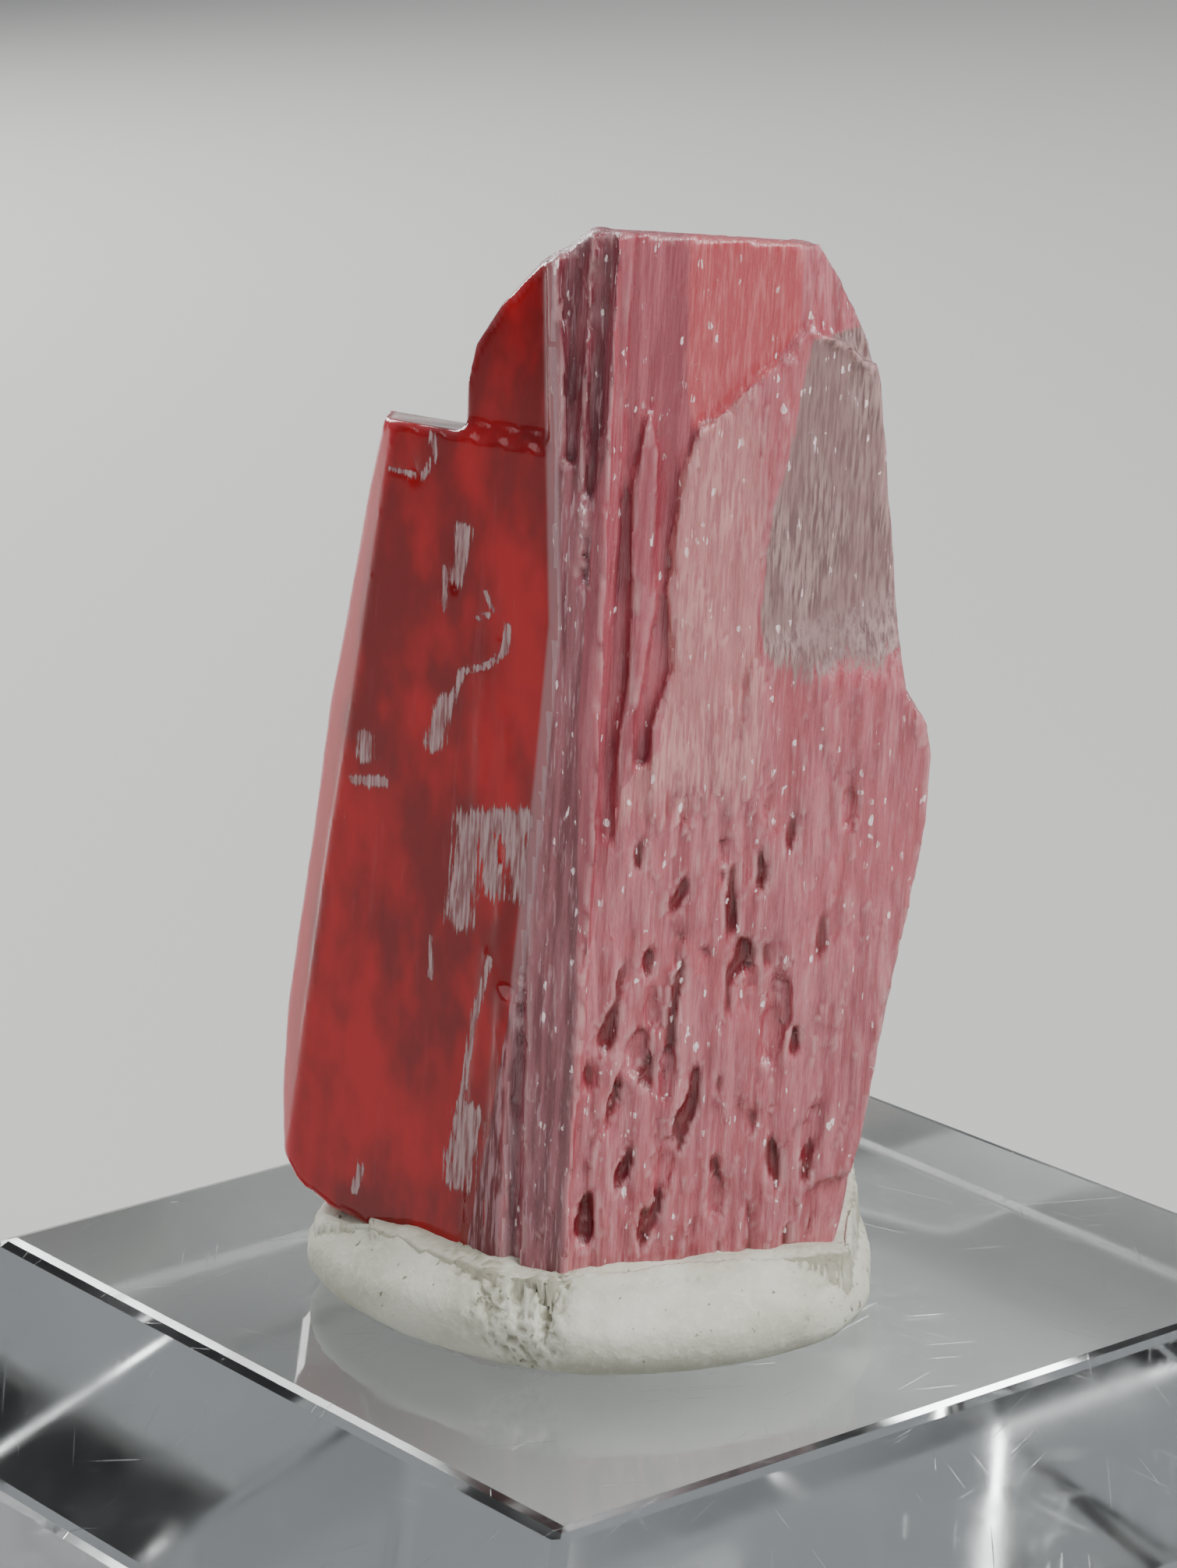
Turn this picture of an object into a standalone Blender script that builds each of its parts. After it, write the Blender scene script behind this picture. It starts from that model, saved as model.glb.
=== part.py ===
"""A rhodonite crystal pressed into mounting putty on a bevelled block of clear acrylic.

The specimen's outlines are in millimetres as seen from the front: x to the right, z up from the
block's top, and y is depth, away from the viewer. Leaves and steps are drawn on a face of the crystal.
"""

import math
import random
from collections import namedtuple

import bmesh
import bpy
from mathutils import Matrix, Vector

MM = 0.001

# The acrylic block
BLOCK_SIDE = 31.75
BLOCK_HEIGHT = 12.7
BLOCK_BEVEL = 3.9
BLOCK_ARRIS = 0.25

# The specimen faces the block's front corner, turned this far about Z
SPECIMEN_TURN = math.radians(-36.5)

# The crystal's long axis leans to the right by this much for each unit of height
LEAN = math.tan(math.radians(4.5))
# The height at which the crystal's plan and its faces are given
PLAN_HEIGHT = 14.0
# Ends of layers fall this much towards the back, for each unit of depth
END_FALL = 0.15
# The flat underside that is pressed into the putty
FOOT = 1.0
# Outlines that run on to the foot or past the top end here, and are trimmed
BELOW = -1.5
ABOVE = 28.5

# A prism face: a point on it at PLAN_HEIGHT, and how far it turns back for each unit of x
Face = namedtuple("Face", "x y slope")
RIGHT_FACE = Face(-1.6, -6.8, math.tan(math.radians(11)))
STRIP_FACE = Face(-1.6, -6.8, -math.tan(math.radians(31)))
LEFT_FACE = Face(-2.9, -6.0, -math.tan(math.radians(46)))
BACK_FACE = Face(0.0, 1.6, -math.tan(math.radians(4)))

# Plan of the main crystal at PLAN_HEIGHT, from the ridge round to the right
MAIN_PLAN = [
    (-1.6, -6.5),
    (8.6, -4.5),
    (8.9, -0.9),
    (2.7, 1.7),
    (-3.4, 1.3),
    (-4.75, -3.8),
    (-2.9, -5.7),
]
MAIN_OUTLINE = [
    (-8.0, BELOW),
    (2.2, BELOW),
    (3.1, 1.0),
    (4.0, 2.2),
    (4.5, 4.0),
    (5.4, 8.2),
    (6.0, 10.7),
    (6.4, 12.8),
    (6.55, 14.4),
    (6.45, 15.1),
    (6.0, 15.9),
    (5.8, 17.4),
    (5.72, 19.2),
    (5.55, 21.8),
    (5.45, 23.3),
    (5.25, 24.1),
    (4.7, 25.4),
    (4.05, 26.5),
    (-1.0, 26.95),
    (-1.55, 26.55),
    (-2.25, 26.2),
    (-3.15, 25.3),
    (-3.8, 24.35),
    (-4.2, 22.8),
    (-4.5, 20.0),
]

# How deep a splinter reaches into the crystal
SPLINTER_ROOT = 1.0

# The dark plate that has grown on the left
PLATE_DEPTH = 4.3
PLATE_OUTLINE = [
    (-3.8, BELOW),
    (-3.65, 3.2),
    (-3.5, 6.5),
    (-3.25, 9.3),
    (-2.65, 14.1),
    (-2.3, 17.9),
    (-2.2, 22.0),
    (-6.06, 21.95),
    (-6.5, 20.2),
    (-7.2, 16.9),
    (-7.7, 14.7),
    (-8.2, 11.7),
    (-8.7, 9.0),
    (-9.1, 6.7),
    (-9.3, 4.6),
    (-9.32, BELOW),
]
# What the plate's lower left corner lacks, where it overhangs the putty
PLATE_UNDERCUT = [
    (-6.5, BELOW),
    (-6.7, 1.95),
    (-8.0, 2.0),
    (-8.95, 2.45),
    (-9.32, 3.1),
    (-11.0, 3.3),
    (-11.0, BELOW),
]

# The putty: its plan where it bulges most, from the left end round the front
GAP = 0.3
PUTTY_CENTRE = (-1.75, -2.2)
PUTTY_PLAN = [
    (-8.7, -1.8),
    (-7.5, -4.0),
    (-5.9, -6.1),
    (-3.8, -7.7),
    (-1.4, -8.7),
    (0.8, -8.4),
    (3.4, -7.3),
    (4.7, -5.5),
    (4.95, -2.7),
    (4.8, 0.2),
    (4.1, 2.3),
    (2.3, 3.8),
    (-0.7, 4.5),
    (-3.9, 4.1),
    (-6.8, 2.8),
    (-8.4, 0.7),
]
# Rings of its form, bottom to top: height, and size as a share of the plan
PUTTY_RINGS = [(0.3, 0.93), (0.45, 1.0), (0.9, 1.05), (1.5, 1.02), (2.2, 0.88), (2.35, 0.6)]
# Plan of the crystal's foot, from the ridge round to the right
FOOT_PLAN = [
    (-2.6, -7.0),
    (4.05, -5.7),
    (4.5, -1.0),
    (4.5, 1.1),
    (1.9, 2.1),
    (-4.6, 1.9),
    (-6.7, 1.4),
    (-6.7, -3.4),
    (-4.0, -6.3),
]
# Where the putty is pressed down under the plate's overhang, and how high the overhang is
OVERHANG_PLAN = [(-6.0, -4.4), (-6.0, 1.8), (-9.4, 3.6), (-9.4, -0.6)]
OVERHANG_HEIGHT = 1.95
# Cracks in the front of the putty, seen from the front
PUTTY_CRACKS = [
    [(-4.9, 2.7), (-4.6, 2.7), (-4.2, 1.7), (-3.75, 1.05), (-4.5, 1.5)],
    [(-3.7, 2.7), (-3.35, 2.7), (-3.35, 1.6), (-3.45, 0.7), (-3.6, 1.7)],
    [(-2.8, 2.5), (-2.5, 2.5), (-2.75, 1.2), (-3.0, 0.8), (-3.0, 1.3)],
]


def new_collection(name):
    made = bpy.data.collections.new(name)
    bpy.context.scene.collection.children.link(made)
    return made


for old in list(bpy.data.objects):
    bpy.data.objects.remove(old)
model = new_collection("rhodonite crystal on block")
main_shape = new_collection("main crystal outline")
main_growths = new_collection("main crystal growths")
plate_growths = new_collection("plate growths")
crystal_cuts = new_collection("crystal cuts")
putty_cuts = new_collection("putty cuts")

seat = bpy.data.objects.new("seat", None)
model.objects.link(seat)
seat.location = (0, 0, BLOCK_HEIGHT * MM)
seat.rotation_euler = (0, 0, SPECIMEN_TURN)


def material(name, colour, roughness, transmission=0.0, ior=1.5):
    made = bpy.data.materials.new(name)
    made.use_nodes = True
    shader = made.node_tree.nodes["Principled BSDF"]
    shader.inputs["Base Color"].default_value = (*colour, 1)
    shader.inputs["Roughness"].default_value = roughness
    shader.inputs["Metallic"].default_value = 0
    shader.inputs["Transmission Weight"].default_value = transmission
    shader.inputs["IOR"].default_value = ior
    return made


def placed(name, mesh, collection, parent=seat):
    """An object of the mesh. Those outside the model's own collection are cutters and guides."""
    made = bpy.data.objects.new(name, mesh)
    collection.objects.link(made)
    made.parent = parent
    if collection != model:
        made.hide_render = True
        made.display_type = "WIRE"
    return made


def finished(name, shape, placing):
    """A mesh of the closed shape, moved by placing, with its faces pointing out."""
    bmesh.ops.transform(shape, matrix=placing, verts=shape.verts)
    bmesh.ops.recalc_face_normals(shape, faces=shape.faces)
    mesh = bpy.data.meshes.new(name)
    shape.to_mesh(mesh)
    shape.free()
    return mesh


def extruded(name, outline, depth, placing):
    """A flat outline in mm, thickened to depth on both sides of its plane, then moved by placing."""
    curve = bpy.data.curves.new(name, "CURVE")
    curve.dimensions = "2D"
    curve.fill_mode = "BOTH"
    curve.extrude = depth / 2 * MM
    spline = curve.splines.new("POLY")
    spline.use_smooth = False
    spline.points.add(len(outline) - 1)
    for point, (across, up) in zip(spline.points, outline):
        point.co = (across * MM, up * MM, 0, 1)
    spline.use_cyclic_u = True
    guide = bpy.data.objects.new(name, curve)
    model.objects.link(guide)
    evaluated = guide.evaluated_get(bpy.context.evaluated_depsgraph_get())
    flat_capped = bpy.data.meshes.new_from_object(evaluated)
    bpy.data.objects.remove(guide)
    bpy.data.curves.remove(curve)
    shape = bmesh.new()
    shape.from_mesh(flat_capped)
    bpy.data.meshes.remove(flat_capped)
    bmesh.ops.remove_doubles(shape, verts=shape.verts, dist=0.001 * MM)
    return finished(name, shape, placing)


def upright(name, outline, front, back, placing):
    """Thickens an outline that stands in XZ from depth front to depth back, then moves it by placing."""
    stand = Matrix.Translation((0, (front + back) / 2 * MM, 0)) @ Matrix.Rotation(math.pi / 2, 4, "X")
    return extruded(name, outline, back - front, placing @ stand)


def depth_of(face, x, z):
    return face.y + face.slope * (x - face.x - LEAN * (z - PLAN_HEIGHT))


def on_face(face, fall=END_FALL):
    """Lays upright shapes on a prism face: y=0 becomes the face, and ends fall towards the back."""
    lay = Matrix.Identity(4)
    lay[1][0] = face.slope
    lay[1][2] = -face.slope * LEAN
    lay[1][3] = depth_of(face, 0, 0) * MM
    lay[2][1] = -fall
    return lay


def leaf(name, outline, face, front, back, collection, tilt=Matrix.Identity(4)):
    """A layer drawn on a face of the crystal, from depth front to depth back."""
    placed(name, upright(name, outline, front, back, on_face(face) @ tilt), collection)


def tilted(x, z, by_x, by_z):
    """Tips a leaf back about the point (x, z) by these depths for each unit of x and of z."""
    tip = Matrix.Identity(4)
    tip[1][0] = by_x
    tip[1][2] = by_z
    tip[1][3] = -(by_x * x + by_z * z) * MM
    return tip


def splinter(name, x, z, length, width, face, rise, chance, collection):
    """A long pointed cleavage flake along the crystal's axis, tipped so that one side stands proud."""
    shape = [(0.1, -0.5), (0.5, -0.12), (0.4, 0.3), (0, 0.5), (-0.5, 0.14), (-0.36, -0.3)]
    outline = []
    for across, along in shape:
        along *= chance.uniform(0.85, 1.15)
        outline.append((x + across * width + LEAN * along * length, z + along * length))
    outward = -1 if face is not BACK_FACE else 1
    tip = tilted(x, z, chance.uniform(-0.22, 0.22), chance.uniform(-0.012, 0.012))
    front, back = sorted((outward * rise, -outward * SPLINTER_ROOT))
    leaf(name, outline, face, front, back, collection, tip)


def ragged(points, amount, chance):
    """The same open line with a jittered point in each stretch, as on a broken edge."""
    line = []
    for (x0, z0), (x1, z1) in zip(points, points[1:]):
        share = chance.uniform(0.35, 0.65)
        line.append((x0, z0))
        x = x0 + (x1 - x0) * share + chance.uniform(-amount, amount)
        z = z0 + (z1 - z0) * share + chance.uniform(-amount, amount)
        line.append((x, z))
    line.append(points[-1])
    return line


def pit(name, x, z, face, width, depth, length, turn, chance):
    """Cuts a ragged hollow into a face, longest along the crystal's axis when turn is 0."""
    shape = bmesh.new()
    bmesh.ops.create_uvsphere(shape, u_segments=6, v_segments=4, radius=MM)
    for vert in shape.verts:
        vert.co *= chance.uniform(0.82, 1.12)
    lean = Matrix.Identity(4)
    lean[0][2] = LEAN
    size = Matrix.Diagonal((width / 2, depth, length / 2, 1))
    where = Matrix.Translation(Vector((x, depth_of(face, x, z), z)) * MM)
    mesh = finished(name, shape, where @ Matrix.Rotation(turn, 4, "Y") @ lean @ size)
    return placed(name, mesh, crystal_cuts)


def boolean(target, operation, collection):
    """A live Boolean of the target with everything in a collection."""
    join = target.modifiers.new(operation.lower(), "BOOLEAN")
    join.operation = operation
    join.solver = "EXACT"
    join.operand_type = "COLLECTION"
    join.collection = collection


def make_block():
    """The clear block, with a broad bevel round its top and fine arrises."""
    shape = bmesh.new()
    bmesh.ops.create_cube(shape, size=MM)
    bmesh.ops.scale(shape, vec=(BLOCK_SIDE, BLOCK_SIDE, BLOCK_HEIGHT), verts=shape.verts)
    top = [edge for edge in shape.edges if all(vert.co.z > 0 for vert in edge.verts)]
    bmesh.ops.bevel(shape, geom=top, offset=BLOCK_BEVEL * MM, segments=1, affect="EDGES")
    mesh = finished("acrylic_base", shape, Matrix.Translation((0, 0, BLOCK_HEIGHT / 2 * MM)))
    mesh.materials.append(material("clear acrylic", (0.95, 0.97, 0.97), 0.05, 1.0, 1.49))
    block = placed("acrylic_base", mesh, model, None)
    arris = block.modifiers.new("arris", "BEVEL")
    arris.width = BLOCK_ARRIS * MM
    arris.segments = 2


def add_right_face():
    """The raised layer, the window, the ridge and the splinters of the pink face."""
    chance = random.Random(11)
    ledge = ragged([(-2.2, 2.2), (-1.75, 9.2), (-1.2, 11.9), (-0.7, 14.0), (0.15, 14.9)], 0.06, chance)
    ledge += ragged([(0.5, 16.6), (0.45, 18.7), (0.6, 19.6), (0.85, 21.2)], 0.08, chance)
    ledge += ragged([(1.3, 22.45), (1.7, 22.6), (2.5, 23.3), (3.1, 23.7), (3.8, 24.5)], 0.12, chance)
    raised = ledge + [(9.0, 24.5), (9.0, BELOW), (-2.6, BELOW)]
    leaf("raised_layer", raised, RIGHT_FACE, 0.0, 2.0, main_growths)
    window = [(1.15, 21.5), (4.5, 23.0), (4.5, ABOVE), (1.5, ABOVE)]
    leaf("window_layer", window, RIGHT_FACE, 0.28, 2.0, main_growths, tilted(1.2, 22.0, -0.045, 0.004))
    ridge = [(-2.8, BELOW), (-2.0, BELOW), (-1.3, 9.0), (-1.2, 15.0), (-0.7, 20.0), (0.0, ABOVE), (-0.4, ABOVE)]
    leaf("ridge", ridge, RIGHT_FACE, 0.07, 2.0, main_growths)
    for number in range(64):
        z = chance.uniform(3.5, 20.5)
        x = chance.uniform(-1.2, 5.0) + LEAN * (z - 12)
        length = chance.uniform(1.6, 6.5)
        width = chance.uniform(0.2, 0.75)
        rise = chance.uniform(0.02, 0.10)
        splinter(f"splinter_{number}", x, z, length, width, RIGHT_FACE, rise, chance, main_growths)


def add_strip():
    """The striated strip between the pink face and the dark plate."""
    chance = random.Random(23)
    for number in range(6):
        low = chance.uniform(2.0, 6.0) if number % 2 else BELOW
        high = ABOVE if number % 3 == 0 else chance.uniform(17.0, 26.0)
        width = chance.uniform(0.08, 0.14)
        foot = -2.6 - 0.19 * number
        at_low = foot + LEAN * low
        middle = foot + chance.uniform(-0.1, 0.1) + LEAN * PLAN_HEIGHT
        lath = [(at_low - width, low), (at_low + width, low + 0.4), (middle + width, 14.0)]
        lath += [(foot + LEAN * high, high), (middle - width, 14.6)]
        leaf(f"strip_lath_{number}", lath, STRIP_FACE, -chance.uniform(0.05, 0.15), 1.0, main_growths)
    band = [(-3.6, BELOW), (-3.3, BELOW), (-2.35, 14.0), (-1.85, 18.0), (-1.75, ABOVE), (-2.1, ABOVE)]
    band += [(-2.2, 18.0), (-2.75, 14.0)]
    leaf("pale_band", band, STRIP_FACE, -0.1, 1.0, main_growths)


def add_back():
    """Steps and splinters on the far side."""
    chance = random.Random(51)
    step = ragged([(-3.6, 2.0), (-3.0, 8.0), (-2.5, 14.0), (-1.9, 20.5)], 0.1, chance)
    leaf("back_layer", step + [(0.4, 22.5), (1.4, 18.0), (0.8, 2.0)], BACK_FACE, -3.0, 0.3, main_growths)
    for number in range(16):
        z = chance.uniform(6.0, 19.0)
        x = chance.uniform(-2.2, 1.8) + LEAN * (z - PLAN_HEIGHT)
        length = chance.uniform(2.5, 7.0)
        width = chance.uniform(0.3, 0.9)
        rise = chance.uniform(0.2, 0.4)
        splinter(f"back_splinter_{number}", x, z, length, width, BACK_FACE, rise, chance, main_growths)


def add_plate():
    """The dark plate, with a pale lath at its foot and fine splinters along its right edge."""
    chance = random.Random(37)
    leaf("plate", PLATE_OUTLINE, LEFT_FACE, 0.0, PLATE_DEPTH, plate_growths)
    dark_lath = [(-5.0, BELOW), (-4.0, BELOW), (-3.75, 9.2), (-4.05, 9.8), (-4.5, 6.5)]
    leaf("dark_lath", dark_lath, LEFT_FACE, -0.10, 1.0, plate_growths)
    pale_lath = [(-4.6, BELOW), (-4.1, BELOW), (-3.75, 5.5), (-3.45, 8.8), (-3.75, 8.9), (-4.1, 5.0)]
    leaf("pale_lath", pale_lath, LEFT_FACE, -0.22, 1.0, plate_growths)
    for number in range(8):
        z = chance.uniform(7.0, 18.0)
        x = chance.uniform(-4.3, -3.2) + LEAN * (z - 12)
        length = chance.uniform(2.5, 6.0)
        width = chance.uniform(0.1, 0.3)
        rise = chance.uniform(0.02, 0.06)
        splinter(f"plate_splinter_{number}", x, z, length, width, LEFT_FACE, rise, chance, plate_growths)


def cut_facets():
    """The turned upper facet, the corner facets and the flat foot."""
    chance = random.Random(5)
    side = ragged([(2.5, 17.2), (2.6, 18.3), (3.2, 21.5), (3.45, 22.6), (3.8, 24.4)], 0.05, chance)
    upper = side + [(4.6, 24.1), (5.3, 23.5), (8.0, 23.0), (8.0, 19.0)]
    leaf("upper_facet", upper, RIGHT_FACE, -3.0, 0.02, crystal_cuts, tilted(2.56, 17.9, 0.24, -0.045))
    fading = [(2.4, 17.2), (8.0, 19.05), (8.0, 14.0), (2.4, 16.0)]
    leaf("fading_facet", fading, RIGHT_FACE, -3.0, 0.0, crystal_cuts, tilted(2.6, 17.2, 0.13, 0.3))
    corner = [(3.3, ABOVE), (3.5, 26.3), (3.8, 24.5), (4.5, 24.2), (5.2, 23.6), (8.0, 23.2), (8.0, ABOVE)]
    leaf("top_corner", corner, RIGHT_FACE, -3.0, 0.0, crystal_cuts, tilted(3.6, 26.2, 1.2, 0.16))
    low_corner = [(2.7, 1.6), (3.3, 3.75), (6.0, 4.4), (6.0, BELOW), (2.4, BELOW)]
    leaf("low_corner", low_corner, RIGHT_FACE, -3.0, 0.0, crystal_cuts, tilted(3.0, 2.8, 0.5, -0.18))
    rim = [(-5.7, 22.5), (-6.2, 19.0), (-6.9, 16.0), (-7.9, 11.0), (-8.75, 6.0), (-9.1, 2.0)]
    rim += [(-12.0, 2.0), (-12.0, 22.5)]
    leaf("plate_rim", rim, LEFT_FACE, -3.0, 0.0, crystal_cuts, tilted(-6.9, 16.0, -1.5, 0.27))
    below_foot = [(-12, BELOW - 4), (8, BELOW - 4), (8, FOOT), (-12, FOOT)]
    for name, outline in (("plate_undercut", PLATE_UNDERCUT), ("foot", below_foot)):
        placed(name, upright(name, outline, -12, 12, Matrix.Identity(4)), crystal_cuts)


def cut_hollows():
    """Pits in the pink face and shallow frosted chips in the plate."""
    chance = random.Random(71)
    pits = [
        (0.5, 10.2, 0.35, 0.5, 2.1),
        (-0.1, 8.6, 0.4, 0.45, 1.5),
        (-0.5, 7.6, 0.7, 0.5, 1.3),
        (0.2, 6.9, 0.5, 0.4, 1.6),
        (2.8, 8.1, 0.75, 0.55, 2.6),
        (2.2, 8.9, 0.35, 0.4, 1.6),
        (0.15, 4.8, 0.4, 0.5, 2.3),
        (1.3, 3.8, 0.6, 0.4, 1.1),
        (4.6, 13.3, 0.4, 0.35, 2.0),
        (1.65, 12.2, 0.35, 0.35, 2.4),
        (1.1, 9.8, 0.3, 0.4, 1.7),
        (-1.0, 6.2, 0.3, 0.3, 2.2),
        (3.6, 5.2, 0.5, 0.35, 1.8),
        (0.75, 13.4, 0.5, 0.25, 1.2),
        (2.35, 20.8, 0.22, 0.3, 2.6),
    ]
    for number, (x, z, width, depth, length) in enumerate(pits):
        pit(f"pit_{number}", x, z, RIGHT_FACE, width, depth, length, chance.uniform(0, 0.15), chance)
    chips = [
        (-4.46, 18.8, 0.55, 0.12, 1.7),
        (-5.1, 14.8, 0.4, 0.10, 1.4),
        (-4.6, 11.6, 0.95, 0.12, 2.2),
        (-3.6, 12.2, 0.9, 0.12, 1.6),
        (-5.4, 20.9, 0.9, 0.08, 0.9),
    ]
    for number, (x, z, width, depth, length) in enumerate(chips):
        pit(f"chip_{number}", x, z, LEFT_FACE, width, depth, length, 0, chance)


def make_crystal():
    leaning = Matrix.Translation((-LEAN * PLAN_HEIGHT * MM, 0, 0))
    leaning[0][2] = LEAN
    height = 2 * (ABOVE + 4)
    crystal = placed("rhodonite_crystal", extruded("rhodonite_crystal", MAIN_PLAN, height, leaning), model)
    front = Face(0, RIGHT_FACE.y + 0.4, 0)
    leaf("main_outline", MAIN_OUTLINE, front, -12, 14, main_shape)
    add_right_face()
    add_strip()
    add_back()
    add_plate()
    cut_facets()
    cut_hollows()
    boolean(crystal, "UNION", main_growths)
    boolean(crystal, "INTERSECT", main_shape)
    boolean(crystal, "UNION", plate_growths)
    boolean(crystal, "DIFFERENCE", crystal_cuts)
    crystal.data.materials.append(material("rhodonite", (0.45, 0.06, 0.07), 0.35))


def outset(outline, distance):
    """The outline, anticlockwise, moved outwards all round."""
    moved = []
    for before, here, after in zip(outline[-1:] + outline[:-1], outline, outline[1:] + outline[:1]):
        here = Vector(here)
        into = (here - Vector(before)).normalized()
        out = (Vector(after) - here).normalized()
        corner = Vector((into.y + out.y, -into.x - out.x)).normalized()
        moved.append(tuple(here + corner * distance / corner.dot(Vector((out.y, -out.x)))))
    return moved


def make_putty():
    """A flattened lump with a seat for the crystal's foot and a crack in front."""
    chance = random.Random(8)
    centre = Vector(PUTTY_CENTRE)
    shape = bmesh.new()
    rim = [shape.verts.new((0, 0, 0)) for point in PUTTY_PLAN]
    face = shape.faces.new(rim)
    for level, (height, share) in enumerate(PUTTY_RINGS):
        if level:
            grown = bmesh.ops.extrude_face_region(shape, geom=[face])["geom"]
            if level > 1:
                shape.faces.remove(face)
            face = next(item for item in grown if isinstance(item, bmesh.types.BMFace))
        for vert, point in zip(face.verts, PUTTY_PLAN):
            spread = share + chance.uniform(-0.02, 0.02)
            place = centre + (Vector(point) - centre) * spread
            vert.co = Vector((place.x, place.y, height)) * MM
    mesh = finished("mounting_putty", shape, Matrix.Identity(4))
    mesh.materials.append(material("putty", (0.68, 0.68, 0.58), 0.9))
    putty = placed("mounting_putty", mesh, model)
    smooth = putty.modifiers.new("smooth", "SUBSURF")
    smooth.levels = smooth.render_levels = 2
    flat = Matrix.Translation((0, 0, (FOOT - GAP + 5) * MM))
    placed("seat_cut", extruded("seat_cut", outset(FOOT_PLAN, GAP), 10, flat), putty_cuts)
    overhang = Matrix.Translation((0, 0, (OVERHANG_HEIGHT - GAP + 5) * MM))
    placed("overhang_cut", extruded("overhang_cut", OVERHANG_PLAN, 10, overhang), putty_cuts)
    for number, outline in enumerate(PUTTY_CRACKS):
        crack = upright(f"crack_{number}", outline, -11.5, -7.5, tilted(-3.6, 0.9, 0, 0.5))
        placed(f"crack_{number}", crack, putty_cuts)
    boolean(putty, "DIFFERENCE", putty_cuts)


make_block()
make_crystal()
make_putty()
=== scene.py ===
import math

import bpy
import numpy as np
from mathutils import Matrix, Vector, noise


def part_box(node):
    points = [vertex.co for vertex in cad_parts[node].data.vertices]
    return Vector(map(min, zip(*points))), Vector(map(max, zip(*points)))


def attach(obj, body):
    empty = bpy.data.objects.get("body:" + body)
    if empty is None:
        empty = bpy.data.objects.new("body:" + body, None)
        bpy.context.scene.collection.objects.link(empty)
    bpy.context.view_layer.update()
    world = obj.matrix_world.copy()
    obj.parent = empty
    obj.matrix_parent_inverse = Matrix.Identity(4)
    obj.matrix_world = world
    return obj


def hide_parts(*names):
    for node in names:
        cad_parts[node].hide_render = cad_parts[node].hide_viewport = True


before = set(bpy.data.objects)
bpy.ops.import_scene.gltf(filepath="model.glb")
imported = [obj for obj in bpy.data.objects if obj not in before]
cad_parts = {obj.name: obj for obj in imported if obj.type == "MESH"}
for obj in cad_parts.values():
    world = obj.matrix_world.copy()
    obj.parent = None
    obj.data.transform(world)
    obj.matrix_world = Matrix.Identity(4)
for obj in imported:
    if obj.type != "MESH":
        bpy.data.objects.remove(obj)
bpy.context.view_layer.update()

# The camera stands in front of the block's corner, a little above it, with a long lens.
# Its place is counted back, right and up from the middle of the block's top.
MM = 0.001
block_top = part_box("acrylic_base")[1][2]
front_turn = math.radians(-36.5)
camera_height = math.radians(15.4)
camera_roll = math.radians(-1.48)
level = Vector((math.cos(front_turn), math.sin(front_turn), 0))
backward = Vector((0, 0, math.sin(camera_height))) + Vector((level.y, -level.x, 0)) * math.cos(camera_height)
above = backward.cross(level)
rightward = level * math.cos(camera_roll) + above * math.sin(camera_roll)
upward = above * math.cos(camera_roll) - level * math.sin(camera_roll)
bpy.ops.object.camera_add()
camera = bpy.context.object
camera_back = 124.11 * MM
camera_left = 1.785 * MM
camera_up = 11.837 * MM
from_block = backward * camera_back - rightward * camera_left + upward * camera_up
camera_matrix = Matrix((rightward, upward, backward)).transposed().to_4x4()
camera_matrix.translation = Vector((0, 0, block_top)) + from_block
camera.matrix_world = camera_matrix
camera.data.lens = 113.45
camera.data.sensor_width = 36
camera.data.clip_start = 0.01
bpy.context.scene.camera = camera

# The table is a plain pale sheet, just clear of the block's underside.
# A large soft lamp stands at the right, a weak one at the left and one behind.
bpy.ops.object.select_all(action="DESELECT")
floor_width = 3
floor_gap = 0.1 * MM
bpy.ops.mesh.primitive_plane_add(size=floor_width, location=(0, 0, -floor_gap))
floor = bpy.context.object
floor.name = "floor"
floor_paint = bpy.data.materials.new("pale table")
floor_paint.use_nodes = True
floor_shader = floor_paint.node_tree.nodes["Principled BSDF"]
floor_shader.inputs["Base Color"].default_value = (0.62, 0.61, 0.59, 1)
floor_shader.inputs["Roughness"].default_value = 0.7
floor.data.materials.append(floor_paint)

# The lamps are aimed at the middle of the crystal.
crystal_middle = 13 * MM
lamp_aim = Vector((0, 0, block_top + crystal_middle))


def soft_lamp(name, right, up, back, size, watts):
    """A square lamp turned to the specimen. Its place is in metres right, up and back from it."""
    place = lamp_aim + rightward * right + upward * up + backward * back
    bpy.ops.object.light_add(type="AREA", location=place)
    lamp = bpy.context.object
    lamp.name = name
    lamp.rotation_euler = (place - lamp_aim).to_track_quat("Z", "Y").to_euler()
    lamp.data.size = size
    lamp.data.energy = watts


soft_lamp("key_lamp", 0.20, 0.24, 0.24, 0.20, 1.9)
soft_lamp("fill_lamp", -0.30, 0.12, 0.14, 0.25, 0.35)
soft_lamp("back_lamp", -0.16, 0.20, -0.24, 0.16, 0.9)
studio = bpy.data.worlds.new("studio")
studio.use_nodes = True
studio.node_tree.nodes["Background"].inputs["Color"].default_value = (0.92, 0.95, 1, 1)
studio.node_tree.nodes["Background"].inputs["Strength"].default_value = 0.3
bpy.context.scene.world = studio


# The block is clear cast acrylic, square, with a broad polished bevel round its top.
# Handling has left it slightly hazy, with fine scratches that catch the light.
def linear(code):
    """The scene colour of a hex code."""
    shares = [int(code[i : i + 2], 16) / 255 for i in (1, 3, 5)]
    return [s / 12.92 if s <= 0.04045 else ((s + 0.055) / 1.055) ** 2.4 for s in shares] + [1]


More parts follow.
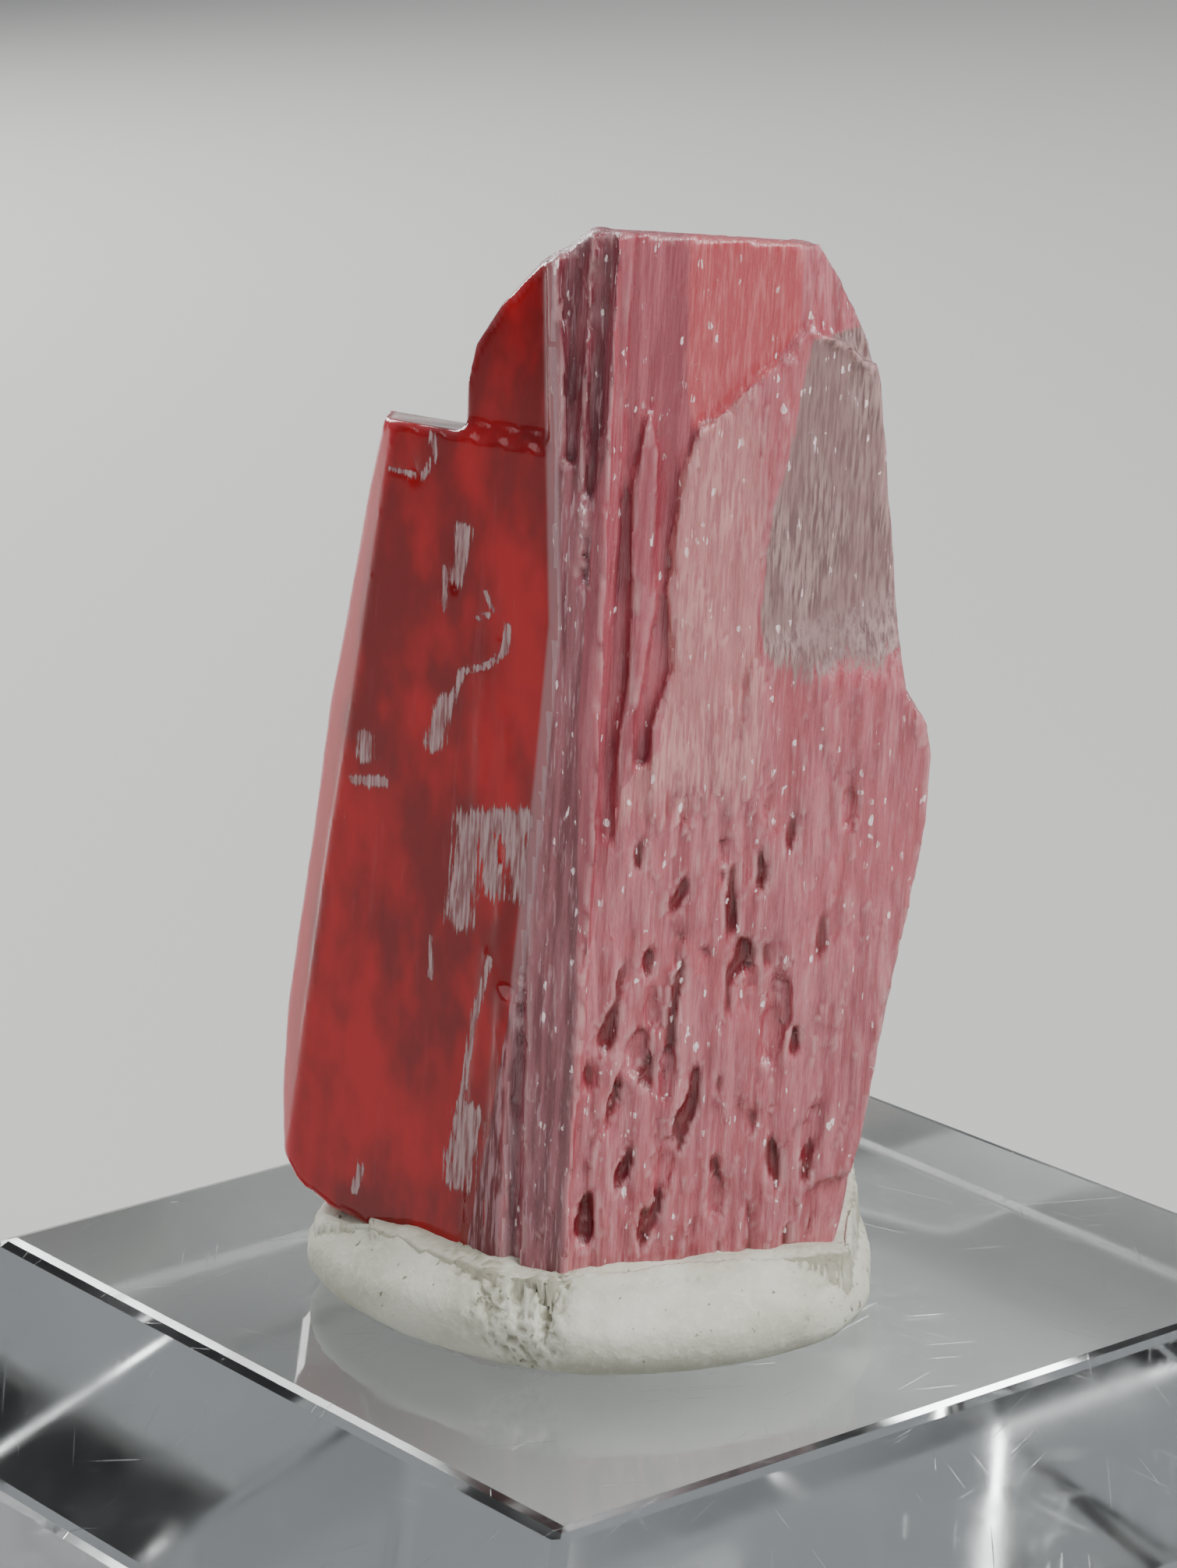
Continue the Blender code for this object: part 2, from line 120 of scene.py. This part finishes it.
def node(tree, kind, inputs=None, **settings):
    """A shader node, with each input joined to a socket or set to a value."""
    made = tree.nodes.new(kind)
    for name, value in settings.items():
        setattr(made, name, value)
    for name, value in (inputs or {}).items():
        if isinstance(value, bpy.types.NodeSocket):
            tree.links.new(value, made.inputs[name])
        else:
            made.inputs[name].default_value = value
    return made


def reckoned(tree, operation, first, second):
    """What a sum such as ADD, SUBTRACT, MULTIPLY or MAXIMUM makes of two values."""
    return node(tree, "ShaderNodeMath", {0: first, 1: second}, operation=operation).outputs[0]


def stepped(tree, value, low, high, top=1.0):
    """0 where the value is below low, top where it is above high, and smooth between."""
    inputs = {"Value": value, "From Min": low, "From Max": high, "To Max": top}
    return node(tree, "ShaderNodeMapRange", inputs, interpolation_type="SMOOTHSTEP").outputs[0]


def clouds(tree, where, size, detail=2.0, rough=0.5):
    """Noise whose features have this size in mm, as a width, a depth and a height."""
    spread = node(tree, "ShaderNodeMapping", {"Vector": where, "Scale": [1 / side for side in size]})
    inputs = {"Vector": spread.outputs[0], "Scale": 1.0, "Detail": detail, "Roughness": rough}
    return node(tree, "ShaderNodeTexNoise", inputs).outputs[0]


def measured_place(tree, turn=0.0):
    """The place on the piece in mm, turned about the upright."""
    where = node(tree, "ShaderNodeTexCoord").outputs["Object"]
    inputs = {"Vector": where, "Rotation": (0, 0, turn), "Scale": (1 / MM, 1 / MM, 1 / MM)}
    return node(tree, "ShaderNodeMapping", inputs).outputs[0]


def new_material(name):
    """A new material, with its node tree and its shader."""
    made = bpy.data.materials.new(name)
    made.use_nodes = True
    return made, made.node_tree, made.node_tree.nodes["Principled BSDF"]


acrylic, tree, shader = new_material("clear acrylic")
# Each family of scratches runs its own way, and has its own width in mm.
scratches = stepped(tree, clouds(tree, measured_place(tree, 0.5), (5, 0.07, 3)), 0.71, 0.79, 0.6)
for turn, width in ((1.3, 0.06), (2.2, 0.09), (-0.25, 0.05)):
    more = stepped(tree, clouds(tree, measured_place(tree, turn), (5, width, 3)), 0.72, 0.80, 0.6)
    scratches = reckoned(tree, "MAXIMUM", scratches, more)
haze = stepped(tree, clouds(tree, measured_place(tree), (4, 4, 4), 4), 0.35, 0.75, 0.1)
worn = reckoned(tree, "ADD", haze, reckoned(tree, "MULTIPLY", scratches, 0.3))
tree.links.new(reckoned(tree, "ADD", worn, 0.03), shader.inputs["Roughness"])
dent = {"Height": scratches, "Strength": 0.3, "Distance": 0.01 * MM}
dents = node(tree, "ShaderNodeBump", dent, invert=True)
tree.links.new(dents.outputs[0], shader.inputs["Normal"])
shader.inputs["Base Color"].default_value = linear("#f3f7f6")
shader.inputs["Metallic"].default_value = 0
shader.inputs["IOR"].default_value = 1.49
shader.inputs["Transmission Weight"].default_value = 1
block = bpy.data.objects["acrylic_base"]
block.material_slots[0].material = acrylic


# The crystal is one piece of rhodonite: a pink main crystal with splintery cleavage and pits,
# a striated maroon strip, and a glassy deep red plate with frosted bruises, grown on the left.
def fine_copy(node_name, piece_name, voxel):
    """A copy of a solid in an even fine mesh, whose points can be moved. voxel is its size in mm."""
    bpy.ops.object.select_all(action="DESELECT")
    piece = bpy.data.objects.new(piece_name, bpy.data.objects[node_name].data.copy())
    bpy.context.scene.collection.objects.link(piece)
    bpy.context.view_layer.objects.active = piece
    piece.select_set(True)
    bpy.ops.object.mode_set(mode="EDIT")
    bpy.ops.mesh.select_all(action="SELECT")
    bpy.ops.mesh.remove_doubles(threshold=0.001 * MM)
    bpy.ops.object.mode_set(mode="OBJECT")
    piece.data.transform(Matrix.Scale(1 / MM, 4))
    remesh = piece.modifiers.new("fine mesh", "REMESH")
    remesh.mode = "VOXEL"
    remesh.voxel_size = voxel
    remesh.use_smooth_shade = True
    bpy.ops.object.modifier_apply(modifier=remesh.name)
    piece.data.transform(Matrix.Scale(MM, 4))
    return piece


def read_points(mesh, what):
    """The place or the normal of each point of the mesh."""
    values = np.empty(len(mesh.vertices) * 3)
    mesh.vertices.foreach_get(what, values)
    return values.reshape(-1, 3)


def specimen_place(points):
    """Width, depth and height in mm, seen from the front, from the middle of the block's top."""
    cos, sin = math.cos(front_turn), math.sin(front_turn)
    x = points[:, 0] * cos + points[:, 1] * sin
    y = points[:, 1] * cos - points[:, 0] * sin
    return x / MM, y / MM, (points[:, 2] - block_top) / MM


def grain(x, y, z, size, seed=0.0):
    """Noise from -1 to 1 at each point, with features of this size in mm."""
    wide, deep, tall = size
    places = zip(x / wide + seed, y / deep, z / tall)
    return np.array([noise.noise(place) for place in places])


def ramp(value, low, high):
    """0 up to low, 1 from high on, and straight between."""
    return np.clip((value - low) / (high - low), 0, 1)


def follow(z, line):
    """Where a line on the face lies at each height. line lists (height, width) pairs."""
    heights, widths = zip(*line)
    return np.interp(z, heights, widths)


def near_stroke(x, z, stroke, radius):
    """1 on a stroke of points seen from the front, and 0 from twice the radius outwards."""
    near = np.full(len(x), 9.0)
    for (x0, z0), (x1, z1) in zip(stroke, stroke[1:]):
        length = (x1 - x0) ** 2 + (z1 - z0) ** 2
        along = np.clip(((x - x0) * (x1 - x0) + (z - z0) * (z1 - z0)) / length, 0, 1)
        near = np.minimum(near, np.hypot(x - x0 - along * (x1 - x0), z - z0 - along * (z1 - z0)))
    return np.clip(1 - near / (2 * radius), 0, 1)


def bulge(mesh):
    """How far each point stands out from its neighbours, in mm."""
    points, normals = read_points(mesh, "co"), read_points(mesh, "normal")
    ends = np.empty(len(mesh.edges) * 2, dtype=np.int32)
    mesh.edges.foreach_get("vertices", ends)
    first, second = ends.reshape(-1, 2).T
    total = np.zeros_like(points)
    for axis in range(3):
        total[:, axis] += np.bincount(first, points[second, axis], len(points))
        total[:, axis] += np.bincount(second, points[first, axis], len(points))
    middle = total / np.bincount(ends, minlength=len(points))[:, None]
    return ((points - middle) * normals).sum(axis=1) / MM


def keep(mesh, name, values):
    """Keeps a value for each point of the mesh, for its material to read."""
    values = np.asarray(values, dtype=np.float32)
    mesh.attributes.new(name, "FLOAT", "POINT").data.foreach_set("value", values)


crystal = fine_copy("rhodonite_crystal", "rhodonite", voxel=0.13)
mesh = crystal.data
points, normals = read_points(mesh, "co"), read_points(mesh, "normal")
x, y, z = specimen_place(points)
front = -specimen_place(normals * MM + [0, 0, block_top])[1]

# Each zone of the surface is 1 where it shows and 0 elsewhere, in mm seen from the front.
lean_angle = math.radians(4.5)
axis_lean = math.tan(lean_angle)
across = x - axis_lean * z
wander = grain(across, y, z, (0.5, 0.5, 1.5)) * 0.10
ridge_line = [
    (2.7, -2.34), (9.2, -1.84), (15.1, -1.7), (18.2, -1.43), (21, -1.13), (22.3, -0.78),
    (26.6, -0.47),
]
band_line = [
    (1, -3.85), (3.2, -3.7), (6.5, -3.5), (9.3, -3.25), (14.1, -2.6), (17.9, -2.15), (26, -2.05),
]
ledge_line = [
    (2.2, -2.3), (9.2, -1.84), (11.9, -1.25), (14, -0.78), (14.9, 0.14), (16.6, 0.5), (18.7, 0.4),
    (21.2, 0.79), (22.45, 1.33), (22.6, 1.7), (23.2, 2.41), (23.6, 2.98), (24.46, 3.55), (27, 3.7),
]
brown_line = [
    (15, 3.4), (17, 2.6), (17.9, 2.56), (19.5, 2.76), (21.5, 3.2), (22.6, 3.43), (23.9, 3.76),
    (27, 3.9),
]
rim_line = [
    (3, -9.32), (6.7, -9.1), (9, -8.7), (11.7, -8.2), (14.7, -7.7), (16.9, -7.2), (20.2, -6.5),
    (22, -6.06),
]
ridge = follow(z, ridge_line) + wander * 0.5
band = follow(z, band_line)
ledge = follow(z, ledge_line) + wander
plate = ramp(band - x, -0.08, 0.08)
strip = ramp(x - band, -0.08, 0.08) * ramp(ridge - x, -0.08, 0.08)
channel = ramp(x - ridge, -0.08, 0.08) * ramp(ledge - x, -0.1, 0.1)
window = channel * ramp(x + wander * 2, 0.7, 1.5) * ramp(z + wander * 3, 21.5, 22.3)
brown = ramp(x + wander - follow(z, brown_line), -0.15, 0.2)
brown *= ramp(z + wander * 5, 15.6, 17.6) * ramp(24.3 - z, -0.1, 0.2)
raised = ramp(x - ledge, -0.1, 0.1) * (1 - brown)
salmon = raised * ramp(z + wander * 6, 11.5, 15.5) * ramp(3.3 - x + wander * 4, 0, 1.2)
lower = raised * ramp(13.5 - z, -1, 2)

# The pink face falls back to the right from its left edge. Its pits are partly filled.
face_front = 6.8
face_slope = math.tan(math.radians(11))
face_left = axis_lean * (z - 14) - 1.6
sunk = y + face_front - face_slope * (x - face_left)
fill_share = 0.6
deepest_fill = 0.8
filled = fill_share * np.clip(sunk - 0.1, 0, deepest_fill)
filled *= ramp(1.2 - sunk, 0, 0.3) * lower * ramp(4.6 - x, 0, 0.5)
points += filled[:, None] * np.array([backward.x, backward.y, 0]) * MM

# Laths and fibres run along the leaning axis, and the shreds between them are short.
laths = []
for place in zip(across / 0.42, y / 0.8, z / 4.5):
    nearest = noise.voronoi(place)[1][0]
    laths.append(math.sin(nearest[0] * 91.7 + nearest[1] * 37.3 + nearest[2] * 63.1))
laths = np.array(laths)
fibres = grain(across, y, z, (0.3, 0.3, 3.2)) + 0.6 * grain(across, y, z, (0.15, 0.15, 1.4), 7)
shreds = grain(across, y, z, (0.26, 0.3, 0.7), 3)
pitted = ramp(grain(across, y, z, (0.45, 0.5, 1.3), 21), 0.22, 0.5)
pitted *= lower * ramp(4.4 - x, 0, 1) * ramp(front, 0.2, 0.6)

# The bruises on the plate are strokes, each with its radius.
frost = np.zeros(len(x))
bruises = [
    ([(-4.23, 19.65), (-4.43, 18.5)], 0.17),
    ([(-4.72, 18.7), (-4.78, 17.7)], 0.06),
    ([(-3.76, 18.3), (-3.57, 17.9), (-4.04, 17.6)], 0.05),
    ([(-3.26, 17.6), (-3.34, 17.0), (-3.75, 16.6), (-4.38, 16.3), (-4.6, 15.6)], 0.07),
    ([(-4.75, 15.5), (-5.15, 14.4)], 0.19),
    ([(-4.35, 12.7), (-3.0, 13.1)], 0.30),
    ([(-4.3, 12.5), (-4.65, 10.4)], 0.30),
    ([(-3.9, 12.6), (-3.75, 11.3)], 0.24),
    ([(-3.3, 12.8), (-3.05, 11.4)], 0.28),
    ([(-6.8, 14.2), (-6.85, 13.7)], 0.17),
    ([(-7.1, 13.05), (-6.35, 13.2)], 0.12),
    ([(-5.35, 9.7), (-5.4, 8.7)], 0.05),
    ([(-3.9, 9.6), (-4.3, 8.2), (-4.5, 7.1), (-4.75, 5.7), (-5.1, 4.3)], 0.06),
    ([(-4.5, 5.6), (-4.9, 3.9)], 0.28),
    ([(-5.95, 20.8), (-5.2, 20.7), (-4.85, 21.3), (-4.9, 21.8)], 0.06),
    ([(-7.28, 3.4), (-7.5, 2.7)], 0.08),
]
for stroke, radius in bruises:
    frost = np.maximum(frost, near_stroke(x, z, stroke, radius))
frost *= plate * ramp(front, 0.3, 0.5)
lath = plate * ramp(front, 0.3, 0.5) * ramp(9.1 - z, 0, 0.3)
lath *= ramp(x - follow(z, [(1, -4.95), (2.9, -4.57), (8.9, -3.4)]), -0.08, 0.08)

# Each zone is roughened by its own share of the grain, and pushed out or in by so many mm.
push = fibres * (0.03 * strip + 0.025 * raised + 0.01 * channel + 0.02 * brown + 0.01 * lath)
push += laths * (0.03 * raised + 0.025 * strip + 0.01 * channel + 0.01 * lath)
push += shreds * (0.05 * lower + 0.03 * brown + 0.02 * salmon)
push -= pitted * 0.2
push -= frost * 0.01 * (1 + shreds)
push += grain(x, y, z, (2.5, 2.5, 5), 11) * 0.012 * plate
mesh.vertices.foreach_set("co", (points + normals * push[:, None] * MM).ravel())
mesh.update()
standing = bulge(mesh)

keep(mesh, "strip", strip)
keep(mesh, "band", np.clip(1 - abs(x - band) / 0.3, 0, 1) * ramp(front, 0.1, 0.4))
keep(mesh, "channel", channel)
keep(mesh, "window", window)
keep(mesh, "salmon", salmon)
keep(mesh, "brown", brown)
# Painted shade: the pits and the deepest pushed-in hollows, which the pink paints dark.
keep(mesh, "pitted", np.maximum(pitted, ramp(-push, 0.12, 0.3)))
keep(mesh, "frost", frost)
keep(mesh, "lath", lath)
# Painted glow: the plate's thin left rim, which its material paints a brighter red as if lit through.
keep(mesh, "rim_glow", np.clip(1 - (x - follow(z, rim_line)) / 0.75, 0, 1) * plate)
# Painted highlight: the ridges that stand out from their neighbours, which the materials paint paler.
keep(mesh, "edge_highlight", ramp(standing, 0.006, 0.03))
# Painted shade: the grooves that sink below their neighbours, which the pink paints darker.
keep(mesh, "hollow_shade", ramp(-standing, 0.006, 0.03))

grains = bpy.data.node_groups.new("cleavage grain", "ShaderNodeTree")
grains.interface.new_socket(name="Place", in_out="INPUT", socket_type="NodeSocketVector")
for name in ("Streak", "Fibre", "Fleck", "Cloud"):
    grains.interface.new_socket(name=name, in_out="OUTPUT", socket_type="NodeSocketFloat")
given = grains.nodes.new("NodeGroupInput").outputs[0]
fleck_place = node(grains, "ShaderNodeMapping", {"Vector": given, "Scale": (10, 10, 6)}).outputs[0]
fleck = node(grains, "ShaderNodeTexVoronoi", {"Vector": fleck_place, "Scale": 1.0}).outputs["Color"]
given_out = grains.nodes.new("NodeGroupOutput")
grains.links.new(clouds(grains, given, (0.32, 0.5, 4.5), 5, 0.62), given_out.inputs["Streak"])
grains.links.new(clouds(grains, given, (0.08, 0.12, 0.9), 3, 0.6), given_out.inputs["Fibre"])
grains.links.new(node(grains, "ShaderNodeSeparateColor", {0: fleck}).outputs[0], given_out.inputs["Fleck"])
grains.links.new(clouds(grains, given, (1.6, 1.6, 2.6), 3), given_out.inputs["Cloud"])


def cleavage(tree):
    """The grain of the crystal, which runs along its leaning axis."""
    square = measured_place(tree, -front_turn)
    along = node(tree, "ShaderNodeMapping", {"Vector": square, "Rotation": (0, -lean_angle, 0)})
    made = node(tree, "ShaderNodeGroup", node_tree=grains)
    tree.links.new(along.outputs[0], made.inputs["Place"])
    return (made.outputs[name] for name in ("Streak", "Fibre", "Fleck", "Cloud"))


def mixed(tree, share, first, second):
    """The first colour, and the second where share is 1. Colours are sockets or hex codes."""
    first, second = (linear(c) if isinstance(c, str) else c for c in (first, second))
    return node(tree, "ShaderNodeMix", {0: share, 6: first, 7: second}, data_type="RGBA").outputs[2]


def zone(tree, name, raggedness=0.0, by=None):
    """A zone of the crystal, with its border made ragged by a grain."""
    share = node(tree, "ShaderNodeAttribute", attribute_name=name).outputs["Fac"]
    if by is None:
        return share
    shift = reckoned(tree, "MULTIPLY", reckoned(tree, "SUBTRACT", by, 0.5), raggedness)
    return stepped(tree, reckoned(tree, "ADD", share, shift), 0.4, 0.6)


pink, tree, shader = new_material("pink rhodonite")
streak, fibre, fleck, cloud = cleavage(tree)
colour = mixed(tree, stepped(tree, streak, 0.38, 0.62), "#9c4650", "#bf6e76")
colour = mixed(tree, stepped(tree, cloud, 0.42, 0.66, 0.7), colour, "#b0505a")
colour = mixed(tree, stepped(tree, fibre, 0.52, 0.72, 0.4), colour, "#d29c9e")
colour = mixed(tree, stepped(tree, fibre, 0.46, 0.34, 0.4), colour, "#83303c")
smooth_red = mixed(tree, stepped(tree, streak, 0.4, 0.6), "#8f3a46", "#ae5862")
colour = mixed(tree, zone(tree, "channel", 0.4, fibre), colour, smooth_red)
upper_red = mixed(tree, stepped(tree, fibre, 0.45, 0.7), "#b6464e", "#c9686c")
colour = mixed(tree, zone(tree, "window", 0.5, streak), colour, upper_red)
buff = mixed(tree, stepped(tree, fibre, 0.4, 0.62), "#b0666a", "#cd8f8c")
buff = mixed(tree, stepped(tree, cloud, 0.4, 0.6, 0.6), buff, "#b66c6e")
colour = mixed(tree, zone(tree, "salmon", 0.7, fibre), colour, buff)
earth = mixed(tree, stepped(tree, fibre, 0.36, 0.62), "#6c4d4c", "#a98a86")
earth = mixed(tree, stepped(tree, cloud, 0.45, 0.6, 0.6), earth, "#835f5e")
colour = mixed(tree, zone(tree, "brown", 0.9, fibre), colour, earth)
maroon = mixed(tree, stepped(tree, streak, 0.40, 0.60), "#6a2430", "#94505a")
maroon = mixed(tree, stepped(tree, fibre, 0.55, 0.66, 0.7), maroon, "#b3868c")
colour = mixed(tree, zone(tree, "strip", 0.3, fibre), colour, maroon)
colour = mixed(tree, stepped(tree, zone(tree, "band"), 0.35, 0.7, 0.8), colour, "#a87f84")
# Painted shade: the pits and deep hollows are painted dark red.
colour = mixed(tree, stepped(tree, zone(tree, "pitted"), 0.15, 0.6), colour, "#6b0a15")
# Painted shade: the grooves are painted dark red.
colour = mixed(tree, reckoned(tree, "MULTIPLY", zone(tree, "hollow_shade"), 0.4), colour, "#74202b")
# Painted highlight: the ridges are painted pale pink.
colour = mixed(tree, reckoned(tree, "MULTIPLY", zone(tree, "edge_highlight"), 0.4), colour, "#dcb0b0")
# Painted highlight: a few tiny cells on the fibres are painted near white as glints.
painted_glint = reckoned(tree, "MULTIPLY", stepped(tree, fleck, 0.965, 0.975), stepped(tree, fibre, 0.5, 0.6))
colour = mixed(tree, painted_glint, colour, "#f6dede")
tree.links.new(colour, shader.inputs["Base Color"])
dull = reckoned(tree, "MULTIPLY", zone(tree, "brown"), 0.3)
dull = reckoned(tree, "ADD", dull, stepped(tree, fibre, 0.3, 0.7, 0.22))
tree.links.new(reckoned(tree, "ADD", dull, 0.2), shader.inputs["Roughness"])
relief = reckoned(tree, "ADD", streak, reckoned(tree, "MULTIPLY", fibre, 0.8))
relief = reckoned(tree, "ADD", relief, reckoned(tree, "MULTIPLY", fleck, 0.25))
relief = node(tree, "ShaderNodeBump", {"Height": relief, "Strength": 0.6, "Distance": 0.07 * MM})
tree.links.new(relief.outputs[0], shader.inputs["Normal"])
shader.inputs["Metallic"].default_value = 0
shader.inputs["IOR"].default_value = 1.72
shader.inputs["Subsurface Weight"].default_value = 0.12
shader.inputs["Subsurface Radius"].default_value = (1.0, 0.2, 0.2)
shader.inputs["Subsurface Scale"].default_value = 0.7 * MM

gem, tree, shader = new_material("gemmy red rhodonite")
streak, fibre, _, cloud = cleavage(tree)
colour = mixed(tree, stepped(tree, cloud, 0.35, 0.68), "#7d060c", "#b60f18")
# Painted glow: the thin left rim is painted a brighter red, as if light shone through it.
colour = mixed(tree, stepped(tree, zone(tree, "rim_glow"), 0.3, 0.95, 0.9), colour, "#cf1a30")
colour = mixed(tree, stepped(tree, streak, 0.6, 0.72, 0.15), colour, "#a84a50")
greyed = mixed(tree, stepped(tree, fibre, 0.4, 0.6), "#6d2a30", "#a87c82")
colour = mixed(tree, zone(tree, "lath", 0.5, fibre), colour, greyed)
white = zone(tree, "frost", 1.5, fibre)
colour = mixed(tree, white, colour, mixed(tree, stepped(tree, fibre, 0.35, 0.65), "#8c5558", "#bfa0a0"))
colour = mixed(tree, stepped(tree, zone(tree, "band"), 0.35, 0.7, 0.7), colour, "#a87f84")
# Painted highlight: the plate's ridges are painted a lighter red.
colour = mixed(tree, reckoned(tree, "MULTIPLY", zone(tree, "edge_highlight"), 0.5), colour, "#c8666c")
tree.links.new(colour, shader.inputs["Base Color"])
dull = reckoned(tree, "MULTIPLY", reckoned(tree, "MAXIMUM", white, zone(tree, "lath")), 0.4)
tree.links.new(reckoned(tree, "ADD", dull, 0.07), shader.inputs["Roughness"])
relief = reckoned(tree, "MULTIPLY", fibre, reckoned(tree, "ADD", dull, 0.03))
relief = node(tree, "ShaderNodeBump", {"Height": relief, "Strength": 0.8, "Distance": 0.15 * MM})
tree.links.new(relief.outputs[0], shader.inputs["Normal"])
shader.inputs["Metallic"].default_value = 0
shader.inputs["IOR"].default_value = 1.5
shader.inputs["Specular IOR Level"].default_value = 0.35
shader.inputs["Transmission Weight"].default_value = 0.12

mesh.materials.clear()
mesh.materials.append(pink)
mesh.materials.append(gem)
corners = np.empty(len(mesh.loops), dtype=np.int32)
mesh.loops.foreach_get("vertex_index", corners)
starts = np.empty(len(mesh.polygons), dtype=np.int32)
mesh.polygons.foreach_get("loop_start", starts)
mesh.polygons.foreach_set("material_index", (plate[corners[starts]] > 0.5).astype(np.int32))
mesh.update()
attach(crystal, "root")
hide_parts("rhodonite_crystal")


# The putty is an off-white lump, pressed flat on the block and squeezed up round the crystal's foot.
# It has dried and cracked in front, and holds dark grit along its cracks and its right end.
def beyond(outline, x, y):
    """How far each point lies outside the outline, in mm, and less than 0 inside it."""
    nearest = np.full(len(x), 99.0)
    inside = np.zeros(len(x), dtype=bool)
    for (x0, y0), (x1, y1) in zip(outline, outline[1:] + outline[:1]):
        length = (x1 - x0) ** 2 + (y1 - y0) ** 2
        along = np.clip(((x - x0) * (x1 - x0) + (y - y0) * (y1 - y0)) / length, 0, 1)
        nearest = np.minimum(nearest, np.hypot(x - x0 - along * (x1 - x0), y - y0 - along * (y1 - y0)))
        rise = y1 - y0 if y1 != y0 else 1e-9
        inside ^= ((y0 > y) != (y1 > y)) & (x < x0 + (y - y0) * (x1 - x0) / rise)
    return np.where(inside, -nearest, nearest)


putty = fine_copy("mounting_putty", "putty_lump", voxel=0.12)
mesh = putty.data
points = read_points(mesh, "co")
x, y, z = specimen_place(points)
foot_plan = [
    (-2.6, -7.0), (4.05, -5.7), (4.5, -1.0), (4.5, 1.1), (1.9, 2.1), (-4.6, 1.9), (-6.7, 1.4),
    (-6.7, -3.4), (-4.0, -6.3),
]
overhang_plan = [(-6.0, -4.4), (-6.0, 1.8), (-9.4, 3.6), (-9.4, -0.6)]
# The lump is let down on the block, closed up to the foot and the plate, and raised at the foot's edge.
putty_top = 2.05
let_down = 0.28
closed_up = 0.2
squeezed_up = 0.22
from_foot = beyond(foot_plan, x, y)
pocket = (from_foot < 0.42) & (z < putty_top)
pressed = (beyond(overhang_plan, x, y) < 0.05) & (z > 1.4) & (z < 1.9)
settled = z - let_down * ramp(1.3 - z, 0, 1) + closed_up * pressed
settled = np.where(pocket, putty_top, settled)
uneven = 1 + grain(x, y, z, (1.4, 1.4, 1.4), 5)
settled += squeezed_up * ramp(0.9 - from_foot, 0, 0.9) * (settled > 1.6) * uneven
points[:, 2] += (settled - z) * MM
mesh.vertices.foreach_set("co", points.ravel())
mesh.update()
normals = read_points(mesh, "normal")
x, y, z = specimen_place(points)
crumbled = near_stroke(x, z, [(-4.5, 2.4), (-3.9, 1.3), (-3.3, 0.5)], 0.45) * (y < -5)
crumbled = np.maximum(crumbled, near_stroke(x, z, [(-2.7, 2.2), (-3.0, 1.0)], 0.4) * (y < -5))
push = 0.09 * grain(x, y, z, (1.7, 1.7, 1.2)) + 0.03 * grain(x, y, z, (0.5, 0.5, 0.5), 3)
push -= abs(grain(x, y, z, (0.28, 0.28, 0.28), 9)) * (0.02 + 0.28 * crumbled)
push *= ramp(z, 0.05, 0.5)
mesh.vertices.foreach_set("co", (points + normals * push[:, None] * MM).ravel())
mesh.update()
standing = bulge(mesh)
# Painted shade: the putty's hollows, which its material paints darker.
keep(mesh, "hollow_shade", ramp(-standing, 0.004, 0.03))
keep(mesh, "gritty", np.maximum(crumbled, ramp(x, 2.4, 4.4) * 0.8))

clay, tree, shader = new_material("dried putty")
place = measured_place(tree)
broad = clouds(tree, place, (2.2, 2.2, 1.5), 4)
fine = clouds(tree, place, (0.22, 0.22, 0.22), 4, 0.6)
colour = mixed(tree, stepped(tree, broad, 0.35, 0.68), "#c4c3b0", "#dcdccd")
colour = mixed(tree, stepped(tree, fine, 0.5, 0.7, 0.35), colour, "#e8e8dc")
grit = reckoned(tree, "MULTIPLY", stepped(tree, fine, 0.40, 0.30), zone(tree, "gritty"))
few = stepped(tree, clouds(tree, place, (0.3, 0.3, 0.3), 2), 0.30, 0.25, 0.8)
colour = mixed(tree, reckoned(tree, "MAXIMUM", grit, few), colour, "#6a624c")
# Painted shade: the hollows are painted a darker grey-brown.
colour = mixed(tree, reckoned(tree, "MULTIPLY", zone(tree, "hollow_shade"), 0.6), colour, "#7c745c")
tree.links.new(colour, shader.inputs["Base Color"])
tree.links.new(reckoned(tree, "ADD", stepped(tree, broad, 0.3, 0.7, 0.25), 0.62), shader.inputs["Roughness"])
grainy = node(tree, "ShaderNodeBump", {"Height": fine, "Strength": 0.6, "Distance": 0.07 * MM})
tree.links.new(grainy.outputs[0], shader.inputs["Normal"])
shader.inputs["Metallic"].default_value = 0
mesh.materials.clear()
mesh.materials.append(clay)
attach(putty, "root")
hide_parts("mounting_putty")
